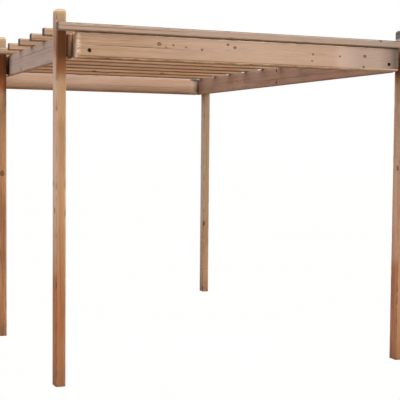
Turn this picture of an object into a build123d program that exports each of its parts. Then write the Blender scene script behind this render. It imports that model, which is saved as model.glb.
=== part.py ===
from build123d import *
import os

# Free-standing timber pergola: three posts down the left side and two at the right-hand
# corners, a side beam packed off the inner faces of each row, a front and a rear beam
# between them, eleven slats laid across, and a block bolted into each front corner.
# X runs along the front, Y from front to rear, Z up, origin on the ground at the centre.

# Overall sizes, mm
HEIGHT = 2500.0            # ground to post tops
WIDTH = 2700.0             # over the outer faces of the posts
BAY_DEPTH = 4050.0         # front post face to rear post face
SLAT_SPACES = 10           # equal spaces between the eleven slats

# Timber sections, mm
POST_X = 70.0
POST_Y = 100.0
BEAM_HEIGHT = 172.0
SIDE_BEAM_THICK = 33.0
CROSS_BEAM_THICK = 115.0
SLAT_HEIGHT = 55.0
SLAT_THICK = 60.0
BLOCK_X = 150.0
BLOCK_Y = 65.0
PACKER_THICK = 24.0
PACKER_WIDTH = 40.0

# Levels and set-outs, mm
POST_RISE = 145.0          # how far the posts stand up past the beams
CROSS_BEAM_PROUD = 55.0    # how far the front and rear beams stand out past the post faces
BLOCK_LIFT = 22.0          # corner blocks stop this far above the beams' lower edge
PACKER_SHORT = 15.0        # packers stop this far inside the beams' edges

# Bevels on the timbers' edges, mm
POST_BEVEL = 8.0
POST_TOP_BEVEL = 12.0
CROSS_BEAM_BEVEL = 6.0
SIDE_BEAM_BEVEL = 8.0
SLAT_BEVEL = 6.0
BLOCK_BEVEL = 4.0

# Coach bolt holes, mm
BOLT_HOLE_DIA = 11.0
COUNTERBORE_DIA = 27.0
COUNTERBORE_DEPTH = 12.0
FRONT_BOLT_INSET = 83.0    # bolt centre from the end of the front beam
FRONT_BOLT_RISE = 50.0     # bolt centre above the lower edge of the front beam
SIDE_BOLT_EDGE = 31.0      # the pair of side bolts, from the upper and lower edges

# Derived positions
BEAM_TOP = HEIGHT - POST_RISE      # top of all four beams, which is the underside of the slats
FRONT_EDGE = -(SLAT_THICK + BAY_DEPTH + POST_Y + CROSS_BEAM_PROUD) / 2
FRONT_POST_FACE = FRONT_EDGE + SLAT_THICK
MIDDLE_POST_FACE = FRONT_POST_FACE + BAY_DEPTH / 2
REAR_POST_FACE = FRONT_POST_FACE + BAY_DEPTH
POST_CENTRE_X = WIDTH / 2 - POST_X / 2
PACKER_CENTRE_X = WIDTH / 2 - POST_X - PACKER_THICK / 2
BEAM_MIDDLE = BEAM_TOP - BEAM_HEIGHT / 2
SIDE_BEAM_CENTRE_X = WIDTH / 2 - POST_X - PACKER_THICK - SIDE_BEAM_THICK / 2
CROSS_BEAM_LENGTH = WIDTH - 2 * (POST_X + PACKER_THICK + SIDE_BEAM_THICK)
FRONT_BEAM_Y = FRONT_POST_FACE - CROSS_BEAM_PROUD + CROSS_BEAM_THICK / 2
REAR_BEAM_Y = REAR_POST_FACE + POST_Y + CROSS_BEAM_PROUD - CROSS_BEAM_THICK / 2
SIDE_BEAM_FRONT = FRONT_BEAM_Y + CROSS_BEAM_THICK / 2
SIDE_BEAM_REAR = REAR_POST_FACE + POST_Y
SIDE_BOLT_Y = MIDDLE_POST_FACE + POST_Y / 2
SIDE_BOLT_LEVELS = (BEAM_TOP - BEAM_HEIGHT + SIDE_BOLT_EDGE, BEAM_TOP - SIDE_BOLT_EDGE)
FRONT_BOLT_X = CROSS_BEAM_LENGTH / 2 - FRONT_BOLT_INSET
FRONT_BOLT_LEVEL = BEAM_TOP - BEAM_HEIGHT + FRONT_BOLT_RISE


def bolt_hole(depth):
    """A plain hole of the given depth, going down from z = 0."""
    return Pos(0, 0, -depth / 2) * Cylinder(BOLT_HOLE_DIA / 2, depth)


def counterbored_hole(depth):
    """A bolt hole with a recess at its mouth for the head and washer."""
    recess = Pos(0, 0, -COUNTERBORE_DEPTH / 2) * Cylinder(COUNTERBORE_DIA / 2, COUNTERBORE_DEPTH)
    return bolt_hole(depth) + recess


def post(x, face_y, bolted):
    """An upright with weathered top bevels. A bolted one is bored for the side beam's pair."""
    upright = Box(POST_X, POST_Y, HEIGHT)
    top_face = upright.faces().sort_by(Axis.Z)[-1]
    upright = chamfer(top_face.edges(), POST_TOP_BEVEL)
    upright = chamfer(upright.edges().filter_by(Axis.Z), POST_BEVEL)
    upright = Pos(x, face_y + POST_Y / 2, HEIGHT / 2) * upright
    if bolted:
        for level in SIDE_BOLT_LEVELS:
            inner_face = Pos(x + POST_X / 2, SIDE_BOLT_Y, level) * Rot(0, 90, 0)
            upright -= inner_face * bolt_hole(POST_X)
    return upright


def packer(side, face_y, bolted):
    """The strip that holds a side beam off one post, side -1 left or +1 right."""
    strip = Box(PACKER_THICK, PACKER_WIDTH, BEAM_HEIGHT - 2 * PACKER_SHORT)
    lap_start = max(face_y, SIDE_BEAM_FRONT)
    lap_end = face_y + POST_Y
    strip = Pos(side * PACKER_CENTRE_X, (lap_start + lap_end) / 2, BEAM_MIDDLE) * strip
    if bolted:
        for level in SIDE_BOLT_LEVELS:
            inner_x = side * (PACKER_CENTRE_X - PACKER_THICK / 2)
            inner_face = Pos(inner_x, SIDE_BOLT_Y, level) * Rot(0, -90 * side, 0)
            strip -= inner_face * bolt_hole(PACKER_THICK)
    return strip


def side_beam(side):
    """A beam along one row of posts, side -1 left or +1 right, bored at mid length."""
    length = SIDE_BEAM_REAR - SIDE_BEAM_FRONT
    beam = Box(SIDE_BEAM_THICK, length, BEAM_HEIGHT)
    beam = chamfer(beam.edges(), SIDE_BEAM_BEVEL)
    beam = Pos(side * SIDE_BEAM_CENTRE_X, SIDE_BEAM_FRONT + length / 2, BEAM_MIDDLE) * beam
    for level in SIDE_BOLT_LEVELS:
        inner_x = side * (SIDE_BEAM_CENTRE_X - SIDE_BEAM_THICK / 2)
        inner_face = Pos(inner_x, SIDE_BOLT_Y, level) * Rot(0, -90 * side, 0)
        beam -= inner_face * counterbored_hole(SIDE_BEAM_THICK)
    return beam


def cross_beam(centre_y):
    """A beam that fills the width between the side beams, bevelled on every edge."""
    beam = Box(CROSS_BEAM_LENGTH, CROSS_BEAM_THICK, BEAM_HEIGHT)
    beam = chamfer(beam.edges(), CROSS_BEAM_BEVEL)
    return Pos(0, centre_y, BEAM_MIDDLE) * beam


def front_beam():
    """The cross beam over the entrance, counterbored near each end for a block's bolt."""
    beam = cross_beam(FRONT_BEAM_Y)
    for side in (-1, 1):
        front_y = FRONT_BEAM_Y - CROSS_BEAM_THICK / 2
        front_face = Pos(side * FRONT_BOLT_X, front_y, FRONT_BOLT_LEVEL) * Rot(90, 0, 0)
        beam -= front_face * counterbored_hole(CROSS_BEAM_THICK)
    return beam


def corner_block(side):
    """The block behind one end of the front beam, against the side beam's inner face."""
    block_height = BEAM_HEIGHT - BLOCK_LIFT
    block = Box(BLOCK_X, BLOCK_Y, block_height)
    block = chamfer(block.edges().filter_by(Axis.Z), BLOCK_BEVEL)
    block_x = side * (CROSS_BEAM_LENGTH / 2 - BLOCK_X / 2)
    block_front = FRONT_BEAM_Y + CROSS_BEAM_THICK / 2
    block = Pos(block_x, block_front + BLOCK_Y / 2, BEAM_TOP - block_height / 2) * block
    front_face = Pos(side * FRONT_BOLT_X, block_front, FRONT_BOLT_LEVEL) * Rot(90, 0, 0)
    return block - front_face * bolt_hole(BLOCK_Y)


def slat(number):
    """A roof slat as long as the pergola is wide, lying on the beams."""
    bar = Box(WIDTH, SLAT_THICK, SLAT_HEIGHT)
    bar = chamfer(bar.edges().filter_by(Axis.X), SLAT_BEVEL)
    face_y = FRONT_EDGE + (number - 1) * BAY_DEPTH / SLAT_SPACES
    return Pos(0, face_y + SLAT_THICK / 2, BEAM_TOP + SLAT_HEIGHT / 2) * bar


os.makedirs("parts", exist_ok=True)

export_step(post(-POST_CENTRE_X, FRONT_POST_FACE, False), "parts/post_front_left.step")
export_step(post(-POST_CENTRE_X, MIDDLE_POST_FACE, True), "parts/post_middle_left.step")
export_step(post(-POST_CENTRE_X, REAR_POST_FACE, False), "parts/post_rear_left.step")
export_step(post(POST_CENTRE_X, FRONT_POST_FACE, False), "parts/post_front_right.step")
export_step(post(POST_CENTRE_X, REAR_POST_FACE, False), "parts/post_rear_right.step")

export_step(packer(-1, FRONT_POST_FACE, False), "parts/packer_front_left.step")
export_step(packer(-1, MIDDLE_POST_FACE, True), "parts/packer_middle_left.step")
export_step(packer(-1, REAR_POST_FACE, False), "parts/packer_rear_left.step")
export_step(packer(1, FRONT_POST_FACE, False), "parts/packer_front_right.step")
export_step(packer(1, REAR_POST_FACE, False), "parts/packer_rear_right.step")

export_step(side_beam(-1), "parts/side_beam_left.step")
export_step(side_beam(1), "parts/side_beam_right.step")
export_step(front_beam(), "parts/front_beam.step")
export_step(cross_beam(REAR_BEAM_Y), "parts/rear_beam.step")

export_step(corner_block(-1), "parts/corner_block_left.step")
export_step(corner_block(1), "parts/corner_block_right.step")

# The first, middle and last slats lie against the front faces of the posts
for number in range(1, SLAT_SPACES + 2):
    export_step(slat(number), f"parts/slat_{number:02d}.step")
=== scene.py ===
import math
import random

import bmesh
import bpy
from mathutils import Matrix, Vector, noise


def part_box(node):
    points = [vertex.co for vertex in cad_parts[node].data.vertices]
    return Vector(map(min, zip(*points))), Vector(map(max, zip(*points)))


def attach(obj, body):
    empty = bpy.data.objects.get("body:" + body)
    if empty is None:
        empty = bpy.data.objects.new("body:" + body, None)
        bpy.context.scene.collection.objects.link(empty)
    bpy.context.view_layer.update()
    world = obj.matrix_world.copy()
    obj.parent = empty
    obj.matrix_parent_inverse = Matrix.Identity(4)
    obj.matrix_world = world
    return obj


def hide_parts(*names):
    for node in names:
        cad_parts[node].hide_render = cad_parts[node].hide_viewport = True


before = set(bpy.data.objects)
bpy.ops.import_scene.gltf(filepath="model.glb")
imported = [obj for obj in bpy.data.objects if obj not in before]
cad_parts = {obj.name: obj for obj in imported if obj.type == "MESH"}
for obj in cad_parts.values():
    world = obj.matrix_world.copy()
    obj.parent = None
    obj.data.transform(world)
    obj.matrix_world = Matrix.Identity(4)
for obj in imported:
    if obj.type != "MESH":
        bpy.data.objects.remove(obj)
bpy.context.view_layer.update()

# ---------------------------------------- viewpoint
# The pergola is seen through a long lens from well out in front of its left
# corner. The lens is turned to the right and tipped slightly down.

EYE = (-2.9983, -8.9431, 1.6048)
TURN_RIGHT = math.radians(23.178)
LOOK_UP = math.radians(-3.26)
LEAN = math.radians(0.63)
LENS = 95.28                        # in mm, as is the sensor
SENSOR = 36.0
FRAMING_SHIFT = (-0.0905, 0.0201)   # in widths of the picture
FARTHEST_SEEN = 200.0

# A camera looks straight down until it is turned
looking = Matrix.Rotation(math.pi / 2 + LOOK_UP, 4, "X") @ Matrix.Rotation(LEAN, 4, "Z")
looking = Matrix.Rotation(-TURN_RIGHT, 4, "Z") @ looking

into_scene = bpy.context.scene.collection.objects.link
camera = bpy.data.objects.new("viewpoint", bpy.data.cameras.new("viewpoint"))
camera.data.lens = LENS
camera.data.sensor_width = SENSOR
camera.data.shift_x, camera.data.shift_y = FRAMING_SHIFT
camera.data.clip_end = FARTHEST_SEEN
camera.matrix_world = Matrix.Translation(EYE) @ looking
into_scene(camera)
bpy.context.scene.camera = camera

# ---------------------------------------- posts
# Five planed posts of pressure-treated softwood, bevelled on their long arrises
# and round their tops so that rain runs off, and left rough-sawn at the foot.
# The middle left one is drilled for the pair of bolts that hold the side beam.

POST_BEVEL = 0.008
POST_TOP_BEVEL = 0.012
SAWN_EDGE = 0.0015
BOLT_HOLE = 0.0055
DRILL_SIDES = 40
SIDE_BOLT_EDGE = 0.031

THROUGH_POST = 0.09

# How a timber's mesh is laid out
STATION_STEP, LEAST_STATION = 0.022, 0.002      # along it, and the least step kept
COLUMN_STEP, LEAST_COLUMN = 0.022, 0.0012       # the same across its faces
ARRIS_STRIP = 0.006
ROOM = 0.004                # kept clear beside a bevel
LIP = 1e-5                  # a split's lips start this far to either side of its floor
KNOT_STEP = 1 / 3           # of the knot's radius
EASED = 0.3                 # the share of a bevel that is eased away at each side
SLANT = math.sqrt(0.5)
# The unevenness of a timber's surface
SHRINKAGE, PLANING = 0.0003, 0.0005
BRUISE_RARITY, BRUISE_DEPTH = 0.32, 0.011
KNOT_HOLLOW, KNOT_PROUD, KNOT_REACH = 0.0009, 0.0012, 1.6
SPLIT_WANDER, HAIRLINE = 0.0028, 0.0003
# Its sawn ends are rings drawn in by these shares, with saw marks and open splits
END_RINGS = (0.68, 0.36)
SAW_MARKS, SAWN_HOLLOW, END_SPLIT = 0.0004, 0.0006, 0.006
# What its finish reads: gashes that go deeper than arrises, darkened partly as dirt and partly
# as painted shade, knots longer than wide, and bands that fade out at their ends
GASH_STARTS, GASH_SPREAD = 0.0018, 0.004
KNOT_STRETCH, NO_KNOT = 0.85, 9.0
BAND_FADE = 0.08
SQUARE_ON = 0.8             # how squarely a point or a face has to look out of a side
CREASE = 32                 # in degrees

# Outward directions of a timber's four sides, in the two axes after its own
SIDES = ((1, 0), (0, 1), (-1, 0), (0, -1))


def eased(before, corner, after):
    """The middle of a small round where two flats meet."""
    return tuple(b / 4 + c / 2 + a / 4 for b, c, a in zip(before, corner, after))


def section_of(half_u, half_v, bevel, splits, knots):
    """The points round a planed section, as (u, v, outward u, outward v, split, shift).

    A split takes three of them: its floor, with shift 0, and a lip to either side.
    """
    easing = EASED * bevel
    slant = easing * SLANT
    points = []
    for side in range(4):
        face, run = (half_u, half_v) if side % 2 == 0 else (half_v, half_u)
        flat = run - bevel
        last = flat - easing
        cuts = {-last, last}
        if flat > 3 * ARRIS_STRIP:
            cuts |= {ARRIS_STRIP - last, last - ARRIS_STRIP}
        inner = flat - 2 * ROOM
        parts = max(1, round(2 * inner / COLUMN_STEP))
        cuts |= {inner * (2 * part / parts - 1) for part in range(1, parts)}
        for knot_side, _, knot_q, knot_radius in knots:
            if knot_side == side:
                over_knot = (knot_q + step * KNOT_STEP * knot_radius for step in range(-8, 9))
                cuts |= {q for q in over_knot if abs(q) < flat - ROOM}
        mine = [(number, split[1]) for number, split in enumerate(splits) if split[0] == side]
        local = [((face, q), (1.0, 0.0), None, 0) for q in cuts
                 if abs(q) == last or all(abs(q - split_q) > ARRIS_STRIP for _, split_q in mine)]
        for number, split_q in mine:
            local += [((face, split_q + shift * LIP), (1.0, 0.0), number, shift)
                      for shift in (-1, 0, 1)]
        local.sort(key=lambda point: point[0][1])
        kept = local[:1]
        for point in local[1:]:
            of_split = point[2] is not None or kept[-1][2] is not None
            if of_split or point[0][1] - kept[-1][0][1] > LEAST_COLUMN:
                kept.append(point)
        if kept[-1][0][1] < last - 1e-9:
            kept[-1] = ((face, last), (1.0, 0.0), None, 0)
        leaving = (face - slant, flat + slant)
        arriving = (face - bevel + slant, run - slant)
        kept += [
            (eased((face, last), (face, flat), leaving), (0.924, 0.383), None, 0),
            (leaving, (SLANT, SLANT), None, 0),
            (arriving, (SLANT, SLANT), None, 0),
            (eased(arriving, (face - bevel, run), (face - bevel - easing, run)),
             (0.383, 0.924), None, 0),
        ]
        for (d, q), (n_out, n_on), number, shift in kept:
            for _ in range(side):
                d, q = -q, d
                n_out, n_on = -n_on, n_out
            points.append((d, q, n_out, n_on, number, shift))
    return points


def end_profile(bevel):
    """How an end closes in: (distance from the end, inset) pairs, outermost last."""
    easing = EASED * bevel
    slant = easing * SLANT
    leaving = (slant, bevel - slant)
    arriving = (bevel - slant, slant)
    return [
        (0.0, bevel + easing),
        eased((0.0, bevel + easing), (0.0, bevel), leaving),
        leaving,
        arriving,
        eased(arriving, (bevel, 0.0), (bevel + easing, 0.0)),
        (bevel + easing, 0.0),
    ]


def stations_of(length, low_bevel, high_bevel, knots):
    """Where the section is repeated along a length, as (distance, inset) pairs."""
    low = end_profile(low_bevel)
    high = [(length - distance, inset) for distance, inset in reversed(end_profile(high_bevel))]
    start, stop = low[-1][0], high[0][0]
    count = round((stop - start) / STATION_STEP)
    between = {start + (stop - start) * step / count for step in range(1, count)}
    for _, knot_along, _, knot_radius in knots:
        over_knot = (knot_along + step * KNOT_STEP * knot_radius for step in range(-10, 11))
        between |= {along for along in over_knot if start + ROOM < along < stop - ROOM}
    kept = []
    for along in sorted(between):
        if not kept or along - kept[-1] > LEAST_STATION:
            kept.append(along)
    return low + [(along, 0.0) for along in kept] + high


def ring_of(bm, place, steps, radii, heights):
    """Vertices evenly round a placement's z axis; radii and heights are a value or a list."""
    radii, heights = (given if isinstance(given, list) else [given] * steps
                      for given in (radii, heights))
    turns = [2 * math.pi * step / steps for step in range(steps)]
    return [bm.verts.new(place @ Vector((radius * math.cos(turn), radius * math.sin(turn), height)))
            for radius, turn, height in zip(radii, turns, heights)]


def turned(bm, place, steps, profile):
    """The rings of a turned shape, from (radius, height) pairs."""
    return [ring_of(bm, place, steps if radius else 1, radius, height) for radius, height in profile]


def bridged(bm, rings):
    """Faces from each ring of vertices to the next, where a ring may be a single one."""
    for lower, upper in zip(rings, rings[1:]):
        count = max(len(lower), len(upper))
        for step in range(count):
            after = (step + 1) % count
            loop = (lower[step % len(lower)], lower[after % len(lower)],
                    upper[after % len(upper)], upper[step % len(upper)])
            bm.faces.new([vert for n, vert in enumerate(loop) if vert not in loop[:n]])


def mesh_from(bm, name):
    """The mesh that a work in progress has become."""
    mesh = bpy.data.meshes.new(name)
    bm.to_mesh(mesh)
    bm.free()
    return mesh


def set_down(name, mesh, material, sharpest):
    """A new object of a mesh, smooth but for edges that turn by more than an angle."""
    mesh.shade_smooth()
    mesh.set_sharp_from_angle(angle=math.radians(sharpest))
    mesh.materials.clear()
    mesh.materials.append(material)
    piece = bpy.data.objects.new(name, mesh)
    into_scene(piece)
    return piece


def facing(point, direction):
    """A placement whose z axis looks along a direction from a point."""
    turning = Vector(direction).to_track_quat("Z", "Y").to_matrix().to_4x4()
    return Matrix.Translation(point) @ turning


def bolt_drill(depth):
    """The outline of a drill for a bolt hole, from a little outside the wood."""
    return [(0.0, 0.01), (BOLT_HOLE, 0.01), (BOLT_HOLE, -depth), (0.0, -depth)]


def drilled(mesh, holes):
    """The mesh with holes cut into it; a hole is (mouth, direction out of it, outline)."""
    if not holes:
        return mesh
    bm = bmesh.new()
    for mouth, outward, outline in holes:
        bridged(bm, turned(bm, facing(mouth, outward), DRILL_SIDES, outline))
    bmesh.ops.recalc_face_normals(bm, faces=bm.faces)
    solid = bpy.data.objects.new("undrilled", mesh)
    cutter = bpy.data.objects.new("drill_bits", mesh_from(bm, "drill_bits"))
    for thing in (solid, cutter):
        into_scene(thing)
    boring = solid.modifiers.new("boring", "BOOLEAN")
    boring.object = cutter
    boring.operation = "DIFFERENCE"
    boring.solver = "EXACT"
    bpy.context.view_layer.update()
    bored = solid.evaluated_get(bpy.context.evaluated_depsgraph_get())
    result = bpy.data.meshes.new_from_object(bored)
    for thing in (solid, cutter):
        bpy.data.objects.remove(thing)
    return result


def read_off(stops, along):
    """A value read off (along, value) stops, held beyond the first and the last."""
    if along <= stops[0][0]:
        return stops[0][1]
    for (start, first), (stop, second) in zip(stops, stops[1:]):
        if along <= stop:
            return first + (second - first) * (along - start) / (stop - start)
    return stops[-1][1]


def held(value):
    """A value kept within 0 and 1."""
    return min(1.0, max(0.0, value))


def unevenness(along, column, length, seed, splits, knots, wander):
    """How far a point of a timber's surface is sunk, and how far it is moved sideways."""
    u, v, out_u, out_v, number, shift = column
    planed = noise.noise(Vector((along * 3.1, u * 11 + seed, v * 11)))
    sunk = SHRINKAGE + PLANING * (0.5 + 0.5 * planed)
    if number is not None:
        _, _, start, stop, width, depth = splits[number]
        reach = (along - start) / (stop - start)
        opened = math.sqrt(math.sin(math.pi * reach)) if 0 < reach < 1 else 0.0
        if start <= 0 and reach < 0.5 or stop >= length and reach > 0.5:
            opened = 1.0
        opened *= 0.75 + 0.25 * noise.noise(Vector((along * 17, wander[number], 3.0)))
        drift = SPLIT_WANDER * noise.noise(Vector((along * 5.3, wander[number], 0.0)))
        if shift == 0:
            sunk += depth * opened
        return sunk, drift + shift * (HAIRLINE + width / 2 * opened)
    if abs(out_u * out_v) > 0.1:
        corner = (2 if out_u > 0 else 0) + (1 if out_v > 0 else 0)
        bruise = noise.noise(Vector((along * 21, seed * 1.7 + corner * 9.1, 0.5)))
        sunk += max(0.0, bruise - BRUISE_RARITY) * BRUISE_DEPTH
    for knot_side, knot_along, knot_q, knot_radius in knots:
        if (round(out_u), round(out_v)) == SIDES[knot_side]:
            gap = math.hypot(along - knot_along, v * out_u - u * out_v - knot_q) / knot_radius
            if gap < KNOT_REACH:
                sunk += KNOT_HOLLOW * (1 + math.cos(gap / KNOT_REACH * math.pi))
                sunk -= KNOT_PROUD * math.exp(-(gap / 0.5) ** 2)
    return sunk, 0.0


def sawn_end(bm, rim, cleft, heart, axis, inward):
    """Rings that close a sawn end, from its rim to its heart; cleft says where splits run out."""
    rings = []
    for share in END_RINGS:
        ring = []
        for vert, open_here in zip(rim, cleft):
            spot = heart.lerp(vert.co, share)
            hollow = SAW_MARKS * (1 + noise.noise(spot * 60))
            if open_here:
                hollow += END_SPLIT * share
            spot[axis] += inward * hollow
            ring.append(bm.verts.new(spot))
        rings.append(ring)
    heart[axis] += inward * SAWN_HOLLOW
    return rings + [[bm.verts.new(heart)]]


def graded(mesh, low, high, axis, bevel, end_bevels, knots, offset, tone=0.0,
           pith=(0.03, 0.05), bleach=((0.0, 0.0),), bands=()):
    """Marks a timber's mesh with what its finish reads.

    tone is how light the wood is, and pith is how far the timber's middle lies from the
    tree's. bleach gives how unweathered (-1), faded (1) or blackened (2) it is along its
    length, and some of its stops are painted shade. A band (side, start, stop, change, on
    bevels) adds to that on one side; the bands under slats, on undersides and on shaded faces
    are painted shade.
    """
    u_axis, v_axis = (axis + 1) % 3, (axis + 2) % 3
    middle, half = (low + high) / 2, (high - low) / 2
    half_u, half_v, half_w = half[u_axis], half[v_axis], half[axis]

    def on_side(side, u, v):
        return SIDES[side][0] * u / half_u + SIDES[side][1] * v / half_v > SQUARE_ON

    grain, marks = [], {title: [] for title in ("arris", "gash", "knot_gap", "tone", "bleach")}
    for vert in mesh.vertices:
        u, v, w = ((vert.co - middle)[way] for way in (u_axis, v_axis, axis))
        along = w + half_w
        grain += (w + offset, u + pith[0], v + pith[1])
        past_u, past_v = abs(u) - half_u + bevel, abs(v) - half_v + bevel
        past_w = abs(w) - half_w + end_bevels[0 if w < 0 else 1]
        arris = held(1 + sorted((past_u, past_v, past_w))[1] / ARRIS_STRIP)
        outside = max(past_u - bevel, past_v - bevel, abs(w) - half_w,
                      (past_u + past_v - bevel) * SLANT, (past_u - bevel + past_w) * SLANT,
                      (past_v - bevel + past_w) * SLANT)
        gash = held((-outside - GASH_STARTS) / GASH_SPREAD)
        knot_gap = NO_KNOT
        for side, knot_along, knot_q, knot_radius in knots:
            if on_side(side, u, v):
                across = v * SIDES[side][0] - u * SIDES[side][1] - knot_q
                gap = math.hypot((along - knot_along) * KNOT_STRETCH, across) / knot_radius
                knot_gap = min(knot_gap, gap)
        state = read_off(bleach, along)
        for side, start, stop, change, on_bevels in bands:
            if on_side(side, u, v):
                share = held(min(along - start, stop - along) / BAND_FADE + 0.5)
                state += change * share * (1.0 if on_bevels else 1.0 - arris)
        for title, value in zip(marks, (arris, gash, knot_gap, tone, state)):
            marks[title].append(value)
    mesh.attributes.new("grain", "FLOAT_VECTOR", "POINT").data.foreach_set("vector", grain)
    for title, values in marks.items():
        mesh.attributes.new(title, "FLOAT", "POINT").data.foreach_set("value", values)
    ends = [1.0 if abs(face.normal[axis]) > SQUARE_ON else 0.0 for face in mesh.polygons]
    mesh.attributes.new("end_cut", "FLOAT", "FACE").data.foreach_set("value", ends)


def timber(node, axis, bevel, end_bevels, seed, material, slot_name, splits=(), knots=(),
           holes=(), bow=(0.0, 0.0), stiffness=1.0, **grading):
    """A planed length of softwood that stands for a CAD node and runs along one axis.

    A split is (side, place across, start, stop, width, depth) and a knot is (side, place
    along, place across, radius). bow is how far it has bent in its other two axes.
    """
    name = node + "_timber"
    low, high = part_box(node)
    middle, size = (low + high) / 2, high - low
    u_axis, v_axis = (axis + 1) % 3, (axis + 2) % 3
    half_u, half_v, length = size[u_axis] / 2, size[v_axis] / 2, size[axis]
    dice = random.Random(seed)
    columns = section_of(half_u, half_v, bevel, splits, knots)
    wander = [dice.uniform(0, 50) for _ in splits]

    def placed(along, u, v):
        spot = Vector((0.0, 0.0, 0.0))
        spot[axis] = low[axis] + along
        spot[u_axis] = middle[u_axis] + u
        spot[v_axis] = middle[v_axis] + v
        return spot

    bm = bmesh.new()
    rings = []
    for along, inset in stations_of(length, *end_bevels, knots):
        ring = []
        for column in columns:
            u, v, out_u, out_v = column[:4]
            sunk, aside = unevenness(along, column, length, seed, splits, knots, wander)
            u = (u - out_v * aside) * (half_u - inset) / half_u - out_u * sunk
            v = (v + out_u * aside) * (half_v - inset) / half_v - out_v * sunk
            ring.append(bm.verts.new(placed(along, u, v)))
        rings.append(ring)
    floors = [number if shift == 0 else None for *_, number, shift in columns]
    low_cleft = [number is not None and splits[number][2] <= 0 for number in floors]
    high_cleft = [number is not None and splits[number][3] >= length for number in floors]
    low_end = sawn_end(bm, rings[0], low_cleft, placed(0.0, 0.0, 0.0), axis, 1)
    high_end = sawn_end(bm, rings[-1], high_cleft, placed(length, 0.0, 0.0), axis, -1)
    bridged(bm, low_end[::-1] + rings + high_end)
    mesh = drilled(mesh_from(bm, name), holes)
    mesh.name = name
    graded(mesh, low, high, axis, bevel, end_bevels, knots, dice.uniform(0, 40), **grading)
    for vert in mesh.vertices:
        reach = (vert.co[axis] - low[axis]) / length
        swing = max(0.0, math.sin(math.pi * reach)) ** stiffness
        vert.co[u_axis] += bow[0] * swing
        vert.co[v_axis] += bow[1] * swing
    piece = set_down(name, mesh, material, CREASE)
    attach(piece, "root")
    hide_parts(node)


def new_group(title, inputs, outputs):
    """A shader node group with named sockets: a number where an input has a value."""
    tree = bpy.data.node_groups.new(title, "ShaderNodeTree")
    for name, value in inputs.items():
        kind = "NodeSocketVector" if value is None else "NodeSocketFloat"
        socket = tree.interface.new_socket(name, in_out="INPUT", socket_type=kind)
        if value is not None:
            socket.default_value = value
    for name in outputs:
        tree.interface.new_socket(name, in_out="OUTPUT", socket_type="NodeSocketFloat")
    given = tree.nodes.new("NodeGroupInput").outputs
    return tree, given, tree.nodes.new("NodeGroupOutput").inputs


def feed(tree, target, value):
    """Links a socket to a target, or sets the target to a plain value."""
    if isinstance(value, bpy.types.NodeSocket):
        tree.links.new(value, target)
    elif value is not None:
        target.default_value = value


def feed_each(tree, sockets, **values):
    """Feeds sockets by their names."""
    for title, value in values.items():
        feed(tree, sockets[title.replace("_", " ")], value)


def worked(tree, kind, values=(), answer=0, **settings):
    """A new node's answer, from its settings and the values that feed it in turn."""
    node = tree.nodes.new("ShaderNode" + kind)
    for title, setting in settings.items():
        setattr(node, title, setting)
    for target, value in zip(node.inputs, values):
        feed(tree, target, value)
    return node.outputs[answer]


def sums(tree, operation, *values, clamp=False):
    """A maths node's answer."""
    return worked(tree, "Math", values, operation=operation, use_clamp=clamp)


def times(tree, *values, clamp=False):
    """Two values multiplied."""
    return sums(tree, "MULTIPLY", *values, clamp=clamp)


def vectors(tree, operation, *values, answer="Vector"):
    """A vector maths node's answer."""
    return worked(tree, "VectorMath", values, answer, operation=operation)


def reach_of(tree, value, stretch):
    """The length of a vector once each of its parts is stretched."""
    stretched = vectors(tree, "MULTIPLY", value, stretch)
    return vectors(tree, "LENGTH", stretched, answer="Value")


def part_of(tree, value, which):
    """The x, y or z of a vector, counted from 0."""
    return worked(tree, "SeparateXYZ", (value,), which)


def span(tree, value, low, high, to_low=0.0, to_high=1.0):
    """A value mapped smoothly from one range to another, and held at its ends."""
    return worked(tree, "MapRange", (value, low, high, to_low, to_high), "Result",
                  interpolation_type="SMOOTHSTEP")


def speckle(tree, where, stretch, detail=2.0, roughness=0.5, answer="Fac"):
    """Noise with its own fineness along each direction, in spots per metre."""
    stretched = vectors(tree, "MULTIPLY", where, stretch)
    return worked(tree, "TexNoise", (stretched, None, 1.0, detail, roughness), answer)


def blended(tree, share, first, second):
    """Two opaque colours mixed by a share from 0 to 1."""
    ends = ((*end, 1.0) if isinstance(end, tuple) else end for end in (first, second))
    # A mix node has five sockets for other kinds of value before its two colours
    return worked(tree, "Mix", (share, *[None] * 5, *ends), 2, data_type="RGBA")


def mark(tree, title, answer="Fac"):
    """A quantity stored on the mesh."""
    return worked(tree, "Attribute", (), answer, attribute_name=title)


# Growth rings, streaks, fibres and knots of softwood. The grain vector's x runs
# along the tree, and its y and z are measured from the pith.
tree, given, made = new_group(
    "softwood_grain", {"Grain": None, "Knot Gap": NO_KNOT, "Ring Width": 0.005, "Knots Kept": 0.35},
    ("Rings", "Streaks", "Fibre", "Knots", "Knot Rims", "Height"))
softwood, grain = tree, given["Grain"]
KNOT_CELLS = (2.9, 12.0, 12.0)
swirl = speckle(tree, grain, (1.5, 7.0, 7.0), answer="Color")
swirl = vectors(tree, "SUBTRACT", swirl, (0.5, 0.5, 0.5))
swirled = vectors(tree, "MULTIPLY_ADD", swirl, (0.0, 0.022, 0.022), grain)
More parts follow.
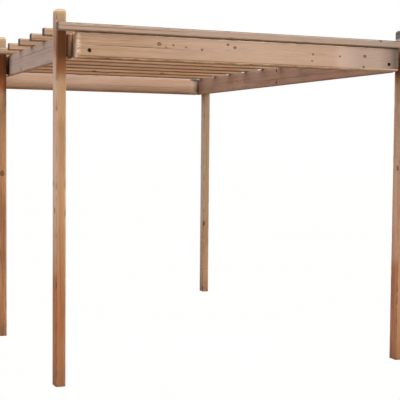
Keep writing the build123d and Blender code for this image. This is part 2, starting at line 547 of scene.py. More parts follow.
# One knot to a cell of wood, if the cell has the luck to keep it
cells = tree.nodes.new("ShaderNodeTexVoronoi")
cells.inputs["Scale"].default_value = 1.0
feed(tree, cells.inputs["Vector"], vectors(tree, "MULTIPLY", grain, KNOT_CELLS))
centres = vectors(tree, "DIVIDE", cells.outputs["Position"], KNOT_CELLS)
away = reach_of(tree, vectors(tree, "SUBTRACT", grain, centres), (0.7, 1.0, 1.0))
luck = tree.nodes.new("ShaderNodeSeparateColor")
feed(tree, luck.inputs[0], cells.outputs["Color"])
kept = sums(tree, "LESS_THAN", luck.outputs[1], given["Knots Kept"])
size = sums(tree, "MULTIPLY_ADD", luck.outputs[0], 0.012, 0.005)
size = sums(tree, "MAXIMUM", times(tree, kept, size), 0.0002)
gap = sums(tree, "MINIMUM", sums(tree, "DIVIDE", away, size), given["Knot Gap"])
ragged = speckle(tree, grain, (90.0, 160.0, 160.0), 2.0, 0.6)
gap = sums(tree, "MULTIPLY_ADD", sums(tree, "SUBTRACT", ragged, 0.5), 0.35, gap)
# The rings swell round a knot and drift along the tree
swell = span(tree, gap, 0.0, 3.6, 0.011, 0.0)
from_pith = sums(tree, "ADD", reach_of(tree, swirled, (0.0, 1.0, 1.0)), swell)
phase = sums(tree, "DIVIDE", from_pith, given["Ring Width"])
drift = speckle(tree, grain, (0.9, 18.0, 18.0))
ring = sums(tree, "FRACT", sums(tree, "MULTIPLY_ADD", drift, 3.0, phase))
late_wood = sums(tree, "POWER", ring, 2.2)
ring = times(tree, late_wood, span(tree, ring, 1.0, 0.9))
boldness = speckle(tree, grain, (0.7, 25.0, 25.0), 3.0)
boldness = span(tree, boldness, 0.3, 0.7, 0.35, 1.6)
streaks = speckle(tree, swirled, (0.8, 62.0, 62.0), 4.0, 0.6)
fibre = speckle(tree, grain, (11.0, 620.0, 620.0), 3.0, 0.65)
rim = sums(tree, "ABSOLUTE", sums(tree, "SUBTRACT", gap, 1.0))
rim = span(tree, rim, 0.3, 0.02)
height = sums(tree, "MULTIPLY_ADD", ring, 0.35, times(tree, fibre, 0.5))
feed_each(tree, made, Rings=times(tree, ring, boldness), Fibre=fibre, Knot_Rims=rim,
          Streaks=span(tree, streaks, 0.38, 0.72), Knots=span(tree, gap, 1.05, 0.8),
          Height=sums(tree, "MULTIPLY_ADD", rim, -0.8, height))

# Cross-cut ends: they drink more stain, show the saw's passes and open in small
# splits that fan out from the pith.
tree, given, made = new_group(
    "end_grain", {"Grain": None, "End Cut": 0.0}, ("Soaked", "Splits", "Height"))
end_cut, grain = tree, given["Grain"]
angle = sums(tree, "ARCTAN2", part_of(tree, grain, 2), part_of(tree, grain, 1))
radius = reach_of(tree, grain, (0.0, 1.0, 1.0))
fine = speckle(tree, worked(tree, "CombineXYZ", (angle, radius)), (7.0, 5.0, 1.0))
cracks = sums(tree, "ABSOLUTE", sums(tree, "SUBTRACT", fine, 0.5))
cracks = times(tree, span(tree, cracks, 0.012, 0.003), given["End Cut"])
soak = speckle(tree, grain, (60.0, 60.0, 60.0), 3.0, 0.6)
soak = span(tree, soak, 0.2, 0.7, 0.6, 1.0)
saw = speckle(tree, grain, (1.0, 30.0, 420.0))
height = sums(tree, "SUBTRACT", saw, cracks)
feed_each(tree, made, Soaked=times(tree, given["End Cut"], soak), Splits=cracks,
          Height=times(tree, given["End Cut"], height))

# Handling and weather rub the stain thin along the arrises, in patches.
tree, given, made = new_group("edge_wear", {"Grain": None, "Arris": 0.0}, ("Worn",))
edge_wear, grain = tree, given["Grain"]
patches = speckle(tree, grain, (9.0, 40.0, 40.0), 4.0, 0.65)
patches = span(tree, patches, 0.34, 0.62)
feed_each(tree, made, Worn=times(tree, given["Arris"], patches))

# Sun and rain turn what looks up dark and grey and bleach some patches, and dirt
# gathers in blotches all over. What looks up is darkened partly for that weathering and
# partly as painted shade against the strong high lamp; on the front beam it is lighter, a
# painted highlight on the top bevel.
tree, given, made = new_group(
    "weathering", {"Grain": None, "Bleach": 0.0},
    ("Topside", "Faded", "Fresh", "Blackened", "Blotches"))
weather, grain = tree, given["Grain"]
lie = worked(tree, "NewGeometry", answer="Normal")
looks_up = span(tree, part_of(tree, lie, 2), 0.2, 0.8)
silver = speckle(tree, grain, (3.0, 45.0, 45.0), 4.0, 0.6)
silver = span(tree, silver, 0.2, 0.7, 0.86, 1.0)
blackened = sums(tree, "SUBTRACT", given["Bleach"], 1.0, clamp=True)
patchy = speckle(tree, grain, (1.6, 11.0, 11.0), 3.0, 0.55)
state = sums(tree, "SUBTRACT", patchy, 0.5)
state = sums(tree, "MULTIPLY_ADD", state, 0.6, given["Bleach"])
faded = times(tree, state, 0.85, clamp=True)
faded = sums(tree, "MAXIMUM", faded, span(tree, patchy, 0.48, 0.78, 0.0, 0.3))
blotches = speckle(tree, grain, (2.6, 15.0, 15.0), 5.0, 0.62)
feed_each(tree, made, Topside=times(tree, looks_up, silver), Faded=faded,
          Fresh=times(tree, state, -1.0, clamp=True), Blackened=blackened,
          Blotches=span(tree, blotches, 0.42, 0.75))


def placed_group(tree, group, **values):
    """A node group set into a material with its own values."""
    node = tree.nodes.new("ShaderNodeGroup")
    node.node_tree = group
    feed_each(tree, node.inputs, **values)
    return node.outputs


def blank_material(title):
    """A material with nothing in its node tree yet, and that tree."""
    material = bpy.data.materials.new(title)
    material.use_nodes = True
    material.node_tree.nodes.clear()
    return material, material.node_tree


def bumped(tree, shader, height, strength, distance):
    """Gives a shader the small relief of a height."""
    bump = tree.nodes.new("ShaderNodeBump")
    bump.inputs["Strength"].default_value = strength
    bump.inputs["Distance"].default_value = distance
    feed(tree, bump.inputs["Height"], height)
    feed(tree, shader.inputs["Normal"], bump.outputs[0])


def surfaced(tree, shader, kind="ShaderNodeOutputMaterial"):
    """Puts a shader out as the surface."""
    feed(tree, tree.nodes.new(kind).inputs["Surface"], shader.outputs[0])


def timber_finish(title, early, late, knot, streak, dirt_and_shade, grey, worn_edge_and_light, cut_end, top,
                  fresh_and_shade_tint=(0.6, 0.36, 0.26), ring_width=0.005, tone_swing=0.2, wear=0.7,
                  foot=None):
    """Stained softwood from its colours; the fresh tint goes where it isn't bleached, and also
    serves as painted shade where bands darken a face.
    """
    material, tree = blank_material(title)
    grain = mark(tree, "grain", "Vector")
    wood = placed_group(tree, softwood, Grain=grain, Knot_Gap=mark(tree, "knot_gap"),
                        Ring_Width=ring_width)
    ends = placed_group(tree, end_cut, Grain=grain, End_Cut=mark(tree, "end_cut"))
    rubbed = placed_group(tree, edge_wear, Grain=grain, Arris=mark(tree, "arris"))
    aged = placed_group(tree, weather, Grain=grain, Bleach=mark(tree, "bleach"))

    def tinted(colour, cover, share, tint):
        return blended(tree, times(tree, cover, share), colour, tint)

    colour = tinted(early, wood["Rings"], 0.75, late)
    colour = tinted(colour, wood["Streaks"], 0.55, streak)
    colour = tinted(colour, aged["Blotches"], 0.3, dirt_and_shade)
    colour = blended(tree, aged["Faded"], colour, grey)
    if foot is not None:
        # Darker towards the foot of the post, with a ragged upper edge.
        where = worked(tree, "NewGeometry", answer="Position")
        foot_edge_noise = speckle(tree, where, (30.0, 30.0, 12.0), 4.0, 0.6)
        height = sums(tree, "MULTIPLY_ADD", foot_edge_noise, -0.3, part_of(tree, where, 2))
        colour = blended(tree, span(tree, height, 0.06, -0.12, 0.0, 0.35), colour, foot)
    # Arrises take the worn colour: rubbed stain, and on the front beam and slats also painted light
    # on bevels the lamps leave dim.
    colour = tinted(colour, rubbed["Worn"], wear, worn_edge_and_light)
    # Where bleach is below zero the colour is tinted fresh; the bands that do this under slats and
    # on undersides are painted shade.
    unfaded = blended(tree, aged["Fresh"], (1, 1, 1), fresh_and_shade_tint)
    colour = vectors(tree, "MULTIPLY", colour, unfaded)
    colour = tinted(colour, aged["Topside"], 0.95, top)
    colour = tinted(colour, wood["Knots"], 0.85, knot)
    colour = tinted(colour, wood["Knot Rims"], 0.75, dirt_and_shade)
    colour = tinted(colour, ends["Soaked"], 0.9, cut_end)
    colour = tinted(colour, ends["Splits"], 0.6, dirt_and_shade)
    # Gashes and bolt recesses take the dark colour: dirt, and painted shade in the hollow.
    colour = tinted(colour, mark(tree, "gash"), 0.92, dirt_and_shade)
    lightness = sums(tree, "MULTIPLY_ADD", mark(tree, "tone"), tone_swing, 1.0)
    unblackened = span(tree, aged["Blackened"], 0.0, 1.0, 1.0, 0.2)
    lightness = times(tree, lightness, unblackened)
    fleck = span(tree, wood["Fibre"], 0.25, 0.75, 0.9, 1.1)
    lightness = times(tree, lightness, fleck)
    shader = tree.nodes.new("ShaderNodeBsdfPrincipled")
    shader.inputs["Specular IOR Level"].default_value = 0.28
    colour = vectors(tree, "SCALE", colour, None, None, lightness)
    rough = span(tree, wood["Streaks"], 0.0, 1.0, 0.58, 0.72)
    rough = sums(tree, "MULTIPLY_ADD", aged["Faded"], 0.15, rough)
    dull = sums(tree, "MAXIMUM", aged["Topside"], ends["Soaked"])
    rough = sums(tree, "MULTIPLY_ADD", dull, 0.3, rough)
    feed_each(tree, shader.inputs, Base_Color=colour, Roughness=rough)
    relief = sums(tree, "ADD", wood["Height"], ends["Height"])
    bumped(tree, shader, relief, strength=0.6, distance=0.0009)
    surfaced(tree, shader)
    return material


post_finish = timber_finish(
    "post_timber",
    early=(0.5, 0.3, 0.165), late=(0.31, 0.15, 0.07), knot=(0.16, 0.065, 0.03),
    streak=(0.34, 0.165, 0.075), dirt_and_shade=(0.05, 0.024, 0.012), grey=(0.36, 0.275, 0.185),
    worn_edge_and_light=(0.6, 0.41, 0.27), cut_end=(0.17, 0.115, 0.07), top=(0.15, 0.115, 0.085),
    foot=(0.2, 0.115, 0.06), fresh_and_shade_tint=(0.61, 0.325, 0.17), ring_width=0.0045, wear=0.5)

# The left faces are darker and redder low down and near the top, and the front faces carry
# painted shade, dark and red, under the slat that crosses them
LOW_LEFT = (2, -0.2, 0.75, -0.45, True)
HIGH_LEFT = (2, 2.2, 2.6, -0.75, False)
SHADE_UNDER_SLAT = (3, 2.06, 2.4, -0.95, True)
DARK_BANDS = (LOW_LEFT, HIGH_LEFT, SHADE_UNDER_SLAT)
# What sets each post apart; most are fresher and redder low down
POSTS = {
    "post_front_left": dict(
        seed=11, tone=0.45, pith=(0.05, 0.02), bands=DARK_BANDS,
        splits=[(3, -0.006, 0.55, 1.38, 0.0022, 0.006), (2, 0.012, 1.6, 2.6, 0.0026, 0.008)],
        bleach=((0.0, -0.85), (0.6, -0.7), (1.15, -0.1), (2.3, 0.0), (2.42, 0.35),
                (2.5, 0.45))),
    # Its tone is raised as painted light, lifting the left face that the front beam shades.
    "post_front_right": dict(
        seed=12, tone=0.9, pith=(-0.045, 0.06), bands=DARK_BANDS,
        splits=[(3, 0.009, 0.9, 1.7, 0.0022, 0.006), (2, -0.014, -0.1, 0.7, 0.0024, 0.007)],
        bleach=((0.0, -0.55), (0.9, -0.45), (1.8, -0.3), (2.08, -0.3), (2.17, -0.9),
                (2.4, -0.9), (2.43, 2.5))),
    "post_middle_left": dict(
        seed=13, tone=0.5, pith=(0.02, -0.08), bands=DARK_BANDS,
        splits=[(3, 0.004, 0.3, 1.2, 0.0022, 0.006)],
        bleach=((0.0, -0.55), (0.9, -0.4), (2.3, -0.15), (2.42, 0.6), (2.5, 0.8))),
    "post_rear_left": dict(
        seed=14, tone=-0.4, pith=(0.06, -0.03), bands=DARK_BANDS,
        splits=[(1, 0.008, 0.6, 1.9, 0.0026, 0.008)],
        bleach=((0.0, -0.55), (1.1, -0.1), (2.3, 0.0), (2.42, 0.5), (2.5, 0.7))),
    "post_rear_right": dict(
        seed=15, tone=-0.75, pith=(-0.03, 0.07), bands=(LOW_LEFT, HIGH_LEFT),
        splits=[(3, -0.004, 1.2, 2.0, 0.0022, 0.006), (0, 0.01, 0.2, 1.1, 0.0024, 0.007)],
        bleach=((0.0, -0.1), (1.1, 0.45), (2.3, 0.6), (2.5, 0.8))),
}
low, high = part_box("side_beam_left")
side_bolt_levels = (low.z + SIDE_BOLT_EDGE, high.z - SIDE_BOLT_EDGE)
low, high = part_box("post_middle_left")
side_bolt_y = (low.y + high.y) / 2


def side_bolt_holes(node, depth):
    """The pair of bolt holes in from the inner face of a timber on the left."""
    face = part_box(node)[1].x
    return [((face, side_bolt_y, level), (1, 0, 0), bolt_drill(depth)) for level in side_bolt_levels]


for node, own in POSTS.items():
    holes = side_bolt_holes(node, THROUGH_POST) if node == "post_middle_left" else ()
    timber(node, 2, POST_BEVEL, (SAWN_EDGE, POST_TOP_BEVEL),
           material=post_finish, slot_name="post_timber", holes=holes, **own)

# ---------------------------------------- packers
# Strips of the same softwood, tacked between the posts and the side beams.
# They keep a gap open for water to drain. Their near-black colour is painted shade, for no sun
# reaches them.

PACKER_EDGE = 0.001
PACKER_END = 0.0008
THROUGH_PACKER = 0.03

packer_shade_finish = timber_finish(
    "packer_painted_shade",
    early=(0.05, 0.017, 0.006), late=(0.03, 0.009, 0.003), knot=(0.02, 0.007, 0.003),
    streak=(0.032, 0.01, 0.004), dirt_and_shade=(0.015, 0.005, 0.002), grey=(0.045, 0.018, 0.008),
    worn_edge_and_light=(0.06, 0.022, 0.009), cut_end=(0.025, 0.009, 0.004), top=(0.03, 0.013, 0.006),
    ring_width=0.004)

packer_nodes = sorted(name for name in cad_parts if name.startswith("packer_"))
for number, node in enumerate(packer_nodes):
    holes = side_bolt_holes(node, THROUGH_PACKER) if node == "packer_middle_left" else ()
    timber(node, 2, PACKER_EDGE, (PACKER_END, PACKER_END), 31 + number,
           packer_shade_finish, "block_timber", holes=holes)

# ---------------------------------------- side beams
# Two planed beams run front to rear on the inner faces of the posts. Each is
# bevelled all round and counterbored at mid length for a pair of coach bolts.

SIDE_BEAM_BEVEL = 0.008
COUNTERBORE = 0.0135
COUNTERBORE_DEPTH = 0.012
THROUGH_SIDE_BEAM = 0.06


def counterbored(depth):
    """The outline of a drill that cuts a bolt hole and the recess for its head."""
    return [(0.0, 0.01), (COUNTERBORE, 0.01), (COUNTERBORE, -COUNTERBORE_DEPTH),
            (BOLT_HOLE, -COUNTERBORE_DEPTH), (BOLT_HOLE, -depth), (0.0, -depth)]


# Its near-black up-facing colour is painted shade on the top arrises between the slats, and its cut
# ends are lightened as painted light where the front beam shades them.
side_beam_finish = timber_finish(
    "side_beam_timber",
    early=(0.46, 0.275, 0.165), late=(0.31, 0.155, 0.08), knot=(0.15, 0.065, 0.033),
    streak=(0.33, 0.17, 0.095), dirt_and_shade=(0.055, 0.028, 0.016), grey=(0.37, 0.28, 0.22),
    worn_edge_and_light=(0.34, 0.2, 0.12), cut_end=(0.29, 0.145, 0.08), top=(0.05, 0.035, 0.025),
    fresh_and_shade_tint=(0.9, 0.68, 0.52), ring_width=0.0055)

SIDE_BEAMS = (
    ("side_beam_left", -1, dict(
        seed=41, pith=(0.09, 0.02), bleach=((0.0, 0.1),),
        splits=[(3, 0.03, 0.5, 1.7, 0.0022, 0.006), (1, -0.02, 2.0, 3.3, 0.0022, 0.006)])),
    # The right beam's inner face is darker and redder: wood the rain misses, and painted shade under
    # the roof.
    ("side_beam_right", 1, dict(
        seed=42, pith=(-0.07, 0.05), bleach=((0.0, -0.7),),
        splits=[(3, -0.025, 0.9, 2.3, 0.0022, 0.006), (1, 0.03, 1.2, 2.6, 0.0022, 0.006)])),
)
for node, side, own in SIDE_BEAMS:
    low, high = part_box(node)
    inner_x = high.x if side < 0 else low.x
    drill = counterbored(THROUGH_SIDE_BEAM)
    holes = [((inner_x, side_bolt_y, level), (-side, 0, 0), drill) for level in side_bolt_levels]
    timber(node, 1, SIDE_BEAM_BEVEL, (SIDE_BEAM_BEVEL, SIDE_BEAM_BEVEL),
           material=side_beam_finish, slot_name="beam_timber", holes=holes, tone=-1.0, **own)

# ---------------------------------------- cross beams
# The heavier beams over the entrance and across the back fill the width between
# the side beams. The front one is counterbored near each end for a coach bolt.

CROSS_BEAM_BEVEL = 0.006
FRONT_BOLT_INSET = 0.083
FRONT_BOLT_RISE = 0.05
THROUGH_CROSS_BEAM = 0.14

# Its pale worn colour is partly rubbed stain and partly painted light on bevels the lamps leave dim,
# its pale cut ends are painted light on end faces the post shades, and its up-facing colour is
# lighter as a painted highlight on the top bevel under the front slat.
front_beam_finish = timber_finish(
    "front_beam_timber",
    early=(0.475, 0.31, 0.205), late=(0.345, 0.19, 0.107), knot=(0.21, 0.1, 0.053),
    streak=(0.345, 0.2, 0.122), dirt_and_shade=(0.085, 0.042, 0.022), grey=(0.54, 0.385, 0.315),
    worn_edge_and_light=(0.92, 0.68, 0.45), cut_end=(0.93, 0.72, 0.54), top=(0.33, 0.235, 0.165),
    fresh_and_shade_tint=(0.62, 0.42, 0.3), ring_width=0.0065, wear=1.0)
# Its near-black up-facing colour is painted shade on the top bevel, which the high lamp would light.
rear_beam_finish = timber_finish(
    "rear_beam_timber",
    early=(0.49, 0.315, 0.215), late=(0.355, 0.19, 0.112), knot=(0.24, 0.115, 0.065),
    streak=(0.36, 0.205, 0.13), dirt_and_shade=(0.085, 0.042, 0.022), grey=(0.48, 0.345, 0.28),
    worn_edge_and_light=(0.62, 0.43, 0.31), cut_end=(0.4, 0.27, 0.18), top=(0.04, 0.028, 0.02),
    fresh_and_shade_tint=(0.85, 0.66, 0.55), ring_width=0.0065, wear=0.2)

# Knots on the front beam's face: along from the left end, above the lower edge, radius
FRONT_BEAM_KNOTS = [
    (0.566, 0.112, 0.011), (0.614, 0.093, 0.005), (0.667, 0.109, 0.006), (0.758, 0.099, 0.005),
    (0.875, 0.088, 0.007), (1.068, 0.131, 0.008), (1.12, 0.113, 0.009), (1.722, 0.048, 0.006),
    (1.729, 0.095, 0.007), (1.949, 0.09, 0.006), (2.155, 0.099, 0.01), (2.147, 0.021, 0.008),
]
low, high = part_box("front_beam")
middle_z = (high.z - low.z) / 2
front_bolt_x = high.x - FRONT_BOLT_INSET
front_bolt_level = low.z + FRONT_BOLT_RISE
face_knots = [(2, along, middle_z - rise, radius) for along, rise, radius in FRONT_BEAM_KNOTS]
drill = counterbored(THROUGH_CROSS_BEAM)
holes = [((side * front_bolt_x, low.y, front_bolt_level), (0, -1, 0), drill) for side in (-1, 1)]
# The band darkens its underside as painted shade. Its bleach fades the middle grey and darkens the
# right end, where the darkening is painted shade of that corner.
timber("front_beam", 0, CROSS_BEAM_BEVEL,
       (CROSS_BEAM_BEVEL, CROSS_BEAM_BEVEL), 51, front_beam_finish, "beam_timber",
       splits=[(2, 0.0, 0.073, 0.787, 0.0042, 0.005)], knots=face_knots, holes=holes,
       pith=(0.11, -0.02), bands=[(3, -0.1, 2.6, -1.3, False)],
       bleach=((0.0, 0.05), (0.45, 0.1), (0.7, 0.45), (1.3, 0.65), (1.9, 0.5), (1.96, 1.12),
               (2.03, 1.22), (2.11, 1.34), (2.28, 1.35), (2.37, 1.58), (2.41, 1.8), (2.43, 1.95)))
# The first band darkens its underside and the second its top, both as painted shade; the blackened
# right end is a painted shadow of the gap beside the side beam.
timber("rear_beam", 0, CROSS_BEAM_BEVEL,
       (CROSS_BEAM_BEVEL, CROSS_BEAM_BEVEL), 52, rear_beam_finish, "beam_timber",
       splits=[(2, 0.02, 1.3, 2.2, 0.0018, 0.005)], bow=(0.0, 0.004), stiffness=0.35, tone=0.3,
       pith=(0.1, 0.045), bands=[(3, -0.1, 2.6, -1.2, True), (1, -0.1, 2.6, 0.85, True)],
       bleach=((0.0, 0.35), (1.2, 0.5), (2.34, 0.3), (2.38, 1.2), (2.446, 1.8)))

# ---------------------------------------- corner blocks
# An upright offcut behind each end of the front beam, tight against the side
# beam. The coach bolt through the front beam pulls up on it.

BLOCK_BEVEL = 0.004
THROUGH_BLOCK = 0.09

block_finish = timber_finish(
    "block_timber",
    early=(0.4, 0.23, 0.125), late=(0.25, 0.12, 0.058), knot=(0.1, 0.042, 0.02),
    streak=(0.28, 0.14, 0.07), dirt_and_shade=(0.045, 0.023, 0.012), grey=(0.34, 0.26, 0.2),
    worn_edge_and_light=(0.5, 0.33, 0.21), cut_end=(0.19, 0.12, 0.075), top=(0.12, 0.09, 0.065),
    ring_width=0.0045)

for node, side, own in (
        ("corner_block_left", -1, dict(seed=61, tone=0.1, pith=(0.08, 0.02))),
        ("corner_block_right", 1, dict(seed=62, tone=-0.2, pith=(-0.02, 0.06)))):
    mouth = (side * front_bolt_x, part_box(node)[0].y, front_bolt_level)
    timber(node, 2, BLOCK_BEVEL, (SAWN_EDGE, SAWN_EDGE),
           material=block_finish, slot_name="block_timber",
           holes=[(mouth, (0, -1, 0), bolt_drill(THROUGH_BLOCK))], **own)

# ---------------------------------------- coach bolts
# Ten-millimetre hexagon-headed bolts of dull plated steel, each with a washer
# under its head and a washer and nut where the far end comes through a timber.

BOLT_RADIUS = 0.0049
BEYOND_TIMBER = 0.016       # how far an end with a nut on it stands out
SHORT_OF_FACE = 0.003       # how far an end without one stays in
THREAD_LENGTH, THREAD_LAP = 0.03, 0.0005
THREAD_DEPTH = 0.0006
THREAD_PITCH = 0.0015
RUN_OUT, LEAD_IN = 0.002, 0.0012
THREAD_SIDES, HEXAGON_SIDES, WASHER_SIDES = 24, 48, 40
ACROSS_FLATS = 0.0165
CROWN = 0.97                # the round on top of a head, as a share of its flats
CORNERS_OFF = math.tan(math.radians(30))
HEAD_HEIGHT = 0.0066
NUT_HEIGHT = 0.0082
WASHER_RADIUS = 0.0112
WASHER_THICK = 0.0019
WASHER_EASE = 0.0004
HEAD_TURN, NUT_TURN = 31, 17    # in radians to a metre of bolt, so that they don't line up
BOLT_CREASE = 28


def capped(bm, rings):
    """A solid through rings of vertices, from its lowest to its highest."""
    bridged(bm, rings)
    bm.faces.new(rings[0][::-1])
    bm.faces.new(rings[-1])


def hexagon(bm, place, height, bored=0.0):
    """A hexagon head with its corners turned off, its seat at z = 0, or a nut if bored."""
    flats = ACROSS_FLATS / 2
    crown = flats * CROWN
    sixth = math.pi / 3
    turns = (2 * math.pi * step / HEXAGON_SIDES for step in range(HEXAGON_SIDES))
    outline = [flats / math.cos((turn + sixth / 2) % sixth - sixth / 2) for turn in turns]
    turned_off = [(radius - crown) * CORNERS_OFF for radius in outline]
    shape = [(outline, [height - drop for drop in turned_off]), (crown, height)]
    if bored:
        shape = [(bored, 0.0), (crown, 0.0), (outline, turned_off), *shape, (bored, height)]
    else:
        shape.insert(0, (outline, 0.0))
    rings = [ring_of(bm, place, HEXAGON_SIDES, radii, heights) for radii, heights in shape]
    if bored:
        bridged(bm, rings + rings[:1])
    else:
        capped(bm, rings)


def threaded(bm, place, start, stop):
    """The threaded end of a bolt, its helix running from start down to stop."""
    rise = THREAD_PITCH / 6
    count = round((start - stop) / rise)
    rings = []
    for row in range(count + 1):
        height = start - row * rise
        taper = min(1.0, row * rise / RUN_OUT, (count - row) * rise / LEAD_IN + 0.1)
        radii = []
        for step in range(THREAD_SIDES):
            wave = abs(((height / THREAD_PITCH + step / THREAD_SIDES) % 1.0) * 2 - 1)
            radii.append(BOLT_RADIUS - THREAD_DEPTH * (wave * taper + (1 - taper) * 0.5))
        rings.append(ring_of(bm, place, THREAD_SIDES, radii, height))
    capped(bm, rings[::-1])


def washer(bm, place):
    """A flat washer with eased rims, its underside at z = 0."""
    bore = BOLT_RADIUS + WASHER_EASE
    rings = turned(bm, place, WASHER_SIDES, [
        (bore, 0.0), (WASHER_RADIUS - WASHER_EASE, 0.0), (WASHER_RADIUS, WASHER_EASE),
        (WASHER_RADIUS, WASHER_THICK - WASHER_EASE),
        (WASHER_RADIUS - WASHER_EASE, WASHER_THICK), (bore, WASHER_THICK)])
    bridged(bm, rings + rings[:1])


# Zinc plating gone dull, with rust creeping out of the hollows
zinc_finish, tree = blank_material("dull_zinc")
where = worked(tree, "NewGeometry", answer="Position")
fine = speckle(tree, where, (1900.0, 1900.0, 1900.0))
rust = span(tree, speckle(tree, where, (260.0, 260.0, 260.0), 4.0, 0.6), 0.38, 0.56)
zinc = blended(tree, fine, (0.022, 0.018, 0.016), (0.045, 0.038, 0.034))
rusty = blended(tree, fine, (0.035, 0.011, 0.004), (0.075, 0.026, 0.009))
shader = tree.nodes.new("ShaderNodeBsdfPrincipled")
feed_each(tree, shader.inputs, Base_Color=blended(tree, rust, zinc, rusty),
          Metallic=span(tree, rust, 0.0, 1.0, 0.85, 0.05),
          Roughness=span(tree, rust, 0.0, 1.0, 0.42, 0.85))
bumped(tree, shader, sums(tree, "ADD", rust, fine), strength=0.5, distance=0.0003)
surfaced(tree, shader)


def coach_bolt(name, recess_floor, outward, length, nut_at):
    """A bolt whose head sits in a recess; nut_at is the timber's depth at the nut, or None."""
    place = facing(recess_floor, outward)
    bm = bmesh.new()
    washer(bm, place)
    seat = place @ Matrix.Translation((0, 0, WASHER_THICK))
    hexagon(bm, seat @ Matrix.Rotation(length * HEAD_TURN, 4, "Z"), HEAD_HEIGHT)
    shank_end = THREAD_LENGTH - length
    bridged(bm, turned(bm, place, THREAD_SIDES, [
        (0.0, 0.001), (BOLT_RADIUS, 0.001), (BOLT_RADIUS, shank_end), (0.0, shank_end)]))
    threaded(bm, place, shank_end + THREAD_LAP, -length)
    if nut_at is not None:
        far = place @ Matrix.Translation((0, 0, -nut_at - WASHER_THICK))
        washer(bm, far)
        far = far @ Matrix.Rotation(length * NUT_TURN, 4, "Z")
        hexagon(bm, far @ Matrix.Translation((0, 0, -NUT_HEIGHT)), NUT_HEIGHT, bored=BOLT_RADIUS)
    bmesh.ops.recalc_face_normals(bm, faces=bm.faces)
    piece = set_down(name, mesh_from(bm, name), zinc_finish, BOLT_CREASE)
    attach(piece, "root")


beam_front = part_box("front_beam")[0].y
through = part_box("corner_block_left")[1].y - beam_front - COUNTERBORE_DEPTH
for title, side in (("left", -1), ("right", 1)):
    recess = (side * front_bolt_x, beam_front + COUNTERBORE_DEPTH, front_bolt_level)
    coach_bolt("front_bolt_" + title, recess, (0, -1, 0), through + BEYOND_TIMBER, through)
for title, side in (("left", -1), ("right", 1)):
    low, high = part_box("side_beam_" + title)
    floor_x = (high.x if side < 0 else low.x) + side * COUNTERBORE_DEPTH
    if side < 0:
        nut_at = None
        length = floor_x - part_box("post_middle_left")[0].x - SHORT_OF_FACE
    else:
        nut_at = high.x - floor_x
        length = nut_at + BEYOND_TIMBER
    for height, level in zip(("lower", "upper"), side_bolt_levels):
        coach_bolt(f"side_bolt_{title}_{height}", (floor_x, side_bolt_y, level), (-side, 0, 0),
                   length, nut_at)

# ---------------------------------------- slats
# Eleven planed slats lie across the side beams at even spacing. The first, middle
# and last bear against the front faces of the posts. Their cut ends have gone dark.

SLAT_BEVEL = 0.006
AGAINST_POSTS = (0, 5, 10)

# Its near-black up-facing colour is partly weathering and partly painted shade against the high
# lamp, and its worn colour is pale partly as painted light on the shaded lower front arris.
slat_finish = timber_finish(
    "slat_timber",
    early=(0.5, 0.315, 0.2), late=(0.34, 0.18, 0.095), knot=(0.19, 0.085, 0.045),
    streak=(0.36, 0.2, 0.115), dirt_and_shade=(0.065, 0.032, 0.018), grey=(0.4, 0.3, 0.25),
    worn_edge_and_light=(0.6, 0.44, 0.31), cut_end=(0.22, 0.085, 0.025), top=(0.045, 0.036, 0.028),
    fresh_and_shade_tint=(0.72, 0.54, 0.42), ring_width=0.005, tone_swing=0.15, wear=0.25)

slat_nodes = sorted(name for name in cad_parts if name.startswith("slat_"))
dice = random.Random(7)
for number, node in enumerate(slat_nodes):
    splits = [(side, dice.uniform(-0.012, 0.012), dice.uniform(*start), dice.uniform(*stop),
               0.002, 0.006)
              for side, start, stop in ((2, (-0.2, 0.4), (0.5, 1.1)), (3, (1.4, 1.8), (2.2, 3.0)))]
    if number in AGAINST_POSTS:
        sideways, lift = abs(dice.uniform(-1, 1)) * 0.0015, 0.0
    else:
        sideways, lift = dice.uniform(-0.003, 0.003), -dice.uniform(0.0, 0.0015)
    # The bands darken each slat's underside and front face as painted shade; the first slat's are
    # replaced below.
    own = dict(tone=dice.uniform(-1, 1),
               pith=(dice.choice((-1, 1)) * dice.uniform(0.02, 0.06), dice.uniform(-0.07, 0.07)),
               bow=(sideways, lift),
               bleach=((0.0, 1.75), (0.024, 0.15), (0.45, -0.1), (2.25, -0.1), (2.676, 0.15),
                       (2.7, 1.75)),
               bands=[(3, 0.2, 2.5, -1.0, True), (2, 0.16, 2.54, -0.35, True)])
    if number == 0:
        # The front one takes all the weather, and has a knot in its face
        own.update(knots=[(2, 2.413, -0.018, 0.008)], bands=[(1, -0.1, 2.8, 0.6, True)],
                   bleach=((0.0, 1.55), (0.024, 0.75), (2.2, 0.95), (2.4, 1.2), (2.7, 1.35)))
    if number == 10:
        # The last one sags between its ends
        own.update(bow=(sideways, -0.0042), stiffness=0.35)
    timber(node, 0, SLAT_BEVEL, (SAWN_EDGE, SAWN_EDGE), 71 + number,
           slat_finish, "slat_timber", splits=splits, **own)

# ---------------------------------------- slat screws
# A countersunk screw goes down through each slat into each side beam, driven a
# little below the surface, with a star recess for the driver.

SCREW_RADIUS = 0.0048
SCREW_SINK = 0.0012
SCREW_SIDES = 36
SCREW_LOBES = 6
SCREW_CREASE = 35
# Its outline from below, as (radius, height, how far the lobes stand out)
SCREW_OUTLINE = (
    (SCREW_RADIUS - 0.0012, -0.0006, 0.0), (SCREW_RADIUS, 0.0009, 0.0),
    (SCREW_RADIUS * 0.92, 0.0013, 0.0), (0.0023, 0.00145, 0.16), (0.0021, -0.0002, 0.16),
    (0.0008, -0.0004, 0.0),
)

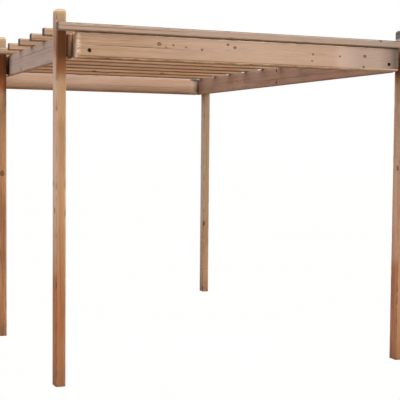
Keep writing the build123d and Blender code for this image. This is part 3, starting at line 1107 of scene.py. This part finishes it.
bm = bmesh.new()
turns = [2 * math.pi * step / SCREW_SIDES for step in range(SCREW_SIDES)]
for node in slat_nodes:
    slat_low, slat_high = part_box(node)
    for title in ("left", "right"):
        beam_low, beam_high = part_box("side_beam_" + title)
        spot = ((beam_low.x + beam_high.x) / 2 + dice.uniform(-0.004, 0.004),
                (slat_low.y + slat_high.y) / 2 + dice.uniform(-0.005, 0.005),
                slat_high.z - SCREW_SINK)
        place = Matrix.Translation(spot) @ Matrix.Rotation(dice.uniform(0, 1), 4, "Z")
        rings = []
        for radius, height, lobe in SCREW_OUTLINE:
            radii = [radius * (1 + lobe * math.cos(SCREW_LOBES * turn)) for turn in turns]
            rings.append(ring_of(bm, place, SCREW_SIDES, radii, height))
        capped(bm, rings)
screws = set_down("slat_screws", mesh_from(bm, "slat_screws"), zinc_finish, SCREW_CREASE)
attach(screws, "root")

# ---------------------------------------- studio
# A wide pale floor, a broad warm lamp high in front and to the right, a softer
# bluish one low on the left and slightly behind, and an even pale surround. The
# floor throws back only as much light as a lawn would.

FLOOR_RADIUS = 90.0
LAMP_DISTANCE = 8.0
LAMPS = (
    # name, turned left of the front, height in degrees, spread, strength, colour
    ("high_lamp", -38, 74.5, 16, 11.3, (1.0, 0.96, 0.9)),
    ("left_lamp", 108, 22, 70, 5.0, (0.6, 0.72, 0.98)),
)

material, tree = blank_material("studio_floor")
seen = tree.nodes.new("ShaderNodeLightPath").outputs["Is Camera Ray"]
where = worked(tree, "NewGeometry", answer="Position")
shade = speckle(tree, where, (0.4, 0.4, 0.4))
shader = tree.nodes.new("ShaderNodeBsdfDiffuse")
shader.inputs["Color"].default_value = (0.13, 0.115, 0.09, 1)
glow = tree.nodes.new("ShaderNodeEmission")
pale = blended(tree, shade, (0.99, 0.99, 0.98), (1.0, 1.0, 1.0))
feed(tree, glow.inputs["Color"], pale)
either = tree.nodes.new("ShaderNodeMixShader")
for target, value in zip(either.inputs, (seen, shader.outputs[0], glow.outputs[0])):
    feed(tree, target, value)
surfaced(tree, either)
bm = bmesh.new()
bmesh.ops.create_circle(bm, cap_ends=True, segments=96, radius=FLOOR_RADIUS)
mesh = mesh_from(bm, "studio_floor")
mesh.materials.append(material)
floor = bpy.data.objects.new("studio_floor", mesh)
into_scene(floor)

for title, turn, rise, spread, strength, tint in LAMPS:
    turn, rise = math.radians(turn), math.radians(rise)
    source = Vector((-math.sin(turn) * math.cos(rise), -math.cos(turn) * math.cos(rise),
                     math.sin(rise)))
    lamp = bpy.data.objects.new(title, bpy.data.lights.new(title, "SUN"))
    lamp.data.angle = math.radians(spread)
    lamp.data.energy = strength
    lamp.data.color = tint
    lamp.matrix_world = facing(source * LAMP_DISTANCE, source)
    into_scene(lamp)

world = bpy.data.worlds.new("surround")
world.use_nodes = True
tree = world.node_tree
tree.nodes.clear()
seen = tree.nodes.new("ShaderNodeLightPath").outputs["Is Camera Ray"]
sky_view = worked(tree, "TexCoord", answer="Generated")
upward = span(tree, part_of(tree, sky_view, 2), 0.0, 0.8)
sky = blended(tree, upward, (0.12, 0.12, 0.12), (0.24, 0.25, 0.28))
background = tree.nodes.new("ShaderNodeBackground")
feed(tree, background.inputs["Color"], blended(tree, seen, sky, (1.0, 1.0, 1.0)))
surfaced(tree, background, "ShaderNodeOutputWorld")
bpy.context.scene.world = world
bpy.context.scene.view_settings.view_transform = "Standard"
